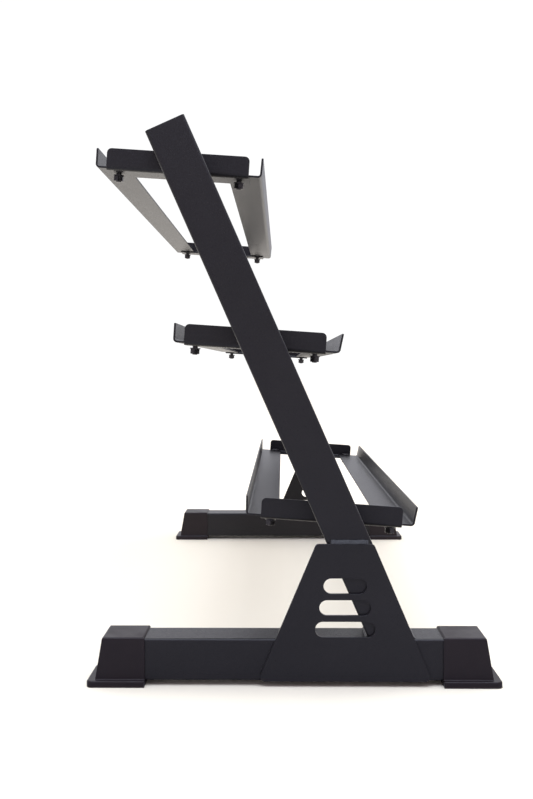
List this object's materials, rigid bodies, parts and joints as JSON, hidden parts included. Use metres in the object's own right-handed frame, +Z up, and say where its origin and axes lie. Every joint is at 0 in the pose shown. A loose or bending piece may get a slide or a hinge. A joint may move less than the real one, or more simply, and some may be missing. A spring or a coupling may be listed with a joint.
{
  "type": "dumbbell rack",
  "caption": "Free-standing steel dumbbell rack: leaning square-tube side frames joined by tilted open shelves of bolted angle rails, on moulded feet.",
  "frame": {"origin": "on the floor, at the centre of the rack's footprint", "axes": "+X along the rack's length, -Y towards the user's side, where the lowest shelf stands furthest forward, +Z up"},
  "size_m": [1.198, 0.593, 0.811],
  "materials": {
    "powder_coat": "satin black powder coat with a very fine texture",
    "foot_plastic": "smooth black moulded plastic",
    "cap_plastic": "matte black moulded plastic",
    "black_fasteners": "black oxide steel, slightly glossy"
  },
  "bodies": {
    "root": {"base_tube_left": "powder_coat", "upright_left": "powder_coat", "gusset_left": "powder_coat", "upright_cap_left": "cap_plastic", "foot_front_left": "foot_plastic", "foot_rear_left": "foot_plastic", "bracket_lower_left": "powder_coat", "bracket_middle_left": "powder_coat", "bracket_top_left": "powder_coat", "base_tube_right": "powder_coat", "upright_right": "powder_coat", "gusset_right": "powder_coat", "upright_cap_right": "cap_plastic", "foot_front_right": "foot_plastic", "foot_rear_right": "foot_plastic", "bracket_lower_right": "powder_coat", "bracket_middle_right": "powder_coat", "bracket_top_right": "powder_coat", "rail_lower_front": "powder_coat", "rail_lower_rear": "powder_coat", "bolts_lower": "black_fasteners", "washers_lower": "black_fasteners", "nuts_lower": "black_fasteners", "rail_middle_front": "powder_coat", "rail_middle_rear": "powder_coat", "bolts_middle": "black_fasteners", "washers_middle": "black_fasteners", "nuts_middle": "black_fasteners", "rail_top_front": "powder_coat", "rail_top_rear": "powder_coat", "bolts_top": "black_fasteners", "washers_top": "black_fasteners", "nuts_top": "black_fasteners"}
  },
  "joints": []
}
